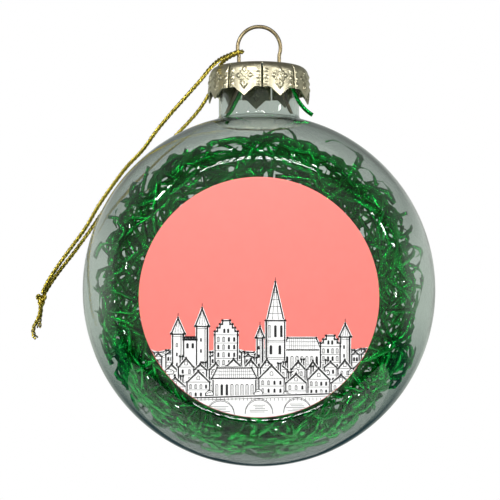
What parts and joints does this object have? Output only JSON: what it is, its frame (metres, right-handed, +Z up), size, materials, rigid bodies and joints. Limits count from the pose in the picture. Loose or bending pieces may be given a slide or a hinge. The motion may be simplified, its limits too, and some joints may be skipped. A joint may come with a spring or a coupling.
{
  "type": "souvenir Christmas ornament",
  "caption": "Clear glass Christmas ball with a flat picture face, foil tinsel inside, a petalled metal cap with a wire hanger, and a gold hanging cord.",
  "frame": {"origin": "centre of the wire hanger's eye, where the ornament hangs", "axes": "+Z up along the neck, -Y out of the flat picture face, +X to the right of someone facing the picture"},
  "size_m": [0.092, 0.068, 0.1006],
  "materials": {
    "clear_glass": "clear blown glass, glossy",
    "adhesive": "white foam adhesive",
    "printed_plate": "printed coral, satin",
    "green_foil": "metallised green foil, mirror-like",
    "cap_metal": "pale gold stamped metal",
    "wire_metal": "dull gold wire",
    "gold_cord": "twisted metallic gold thread"
  },
  "bodies": {
    "bauble": {"bauble_shell": "clear_glass", "adhesive_pad": "adhesive", "picture_plate": "printed_plate", "tinsel_nest": "green_foil", "neck_strip": "green_foil", "shoulder_strip": "green_foil", "loose_strip_1": "green_foil", "loose_strip_2": "green_foil", "loose_strip_3": "green_foil", "loose_strip_4": "green_foil", "loose_strip_5": "green_foil", "loose_strip_6": "green_foil"},
    "cap": {"crown_cap": "cap_metal"},
    "hanger": {"hanger_wire": "wire_metal"},
    "cord": {"cord_bight": "gold_cord", "cord_front_run": "gold_cord", "cord_back_run": "gold_cord", "cord_knot": "gold_cord", "cord_front_tail": "gold_cord", "cord_back_tail": "gold_cord"}
  },
  "joints": [
    {"name": "cap_lift", "type": "slide", "parent": "bauble", "child": "cap", "axis": [0, 0, 1], "range_m": [0, 0.03]},
    {"name": "hanger_pull", "type": "slide", "parent": "cap", "child": "hanger", "axis": [0, 0, 1], "range_m": [0, 0.002]},
    {"name": "cord_swing", "type": "hinge", "parent": "hanger", "child": "cord", "pos_m": [0, 0, 0], "axis": [0, 1, 0], "range_deg": [0, 130]}
  ]
}
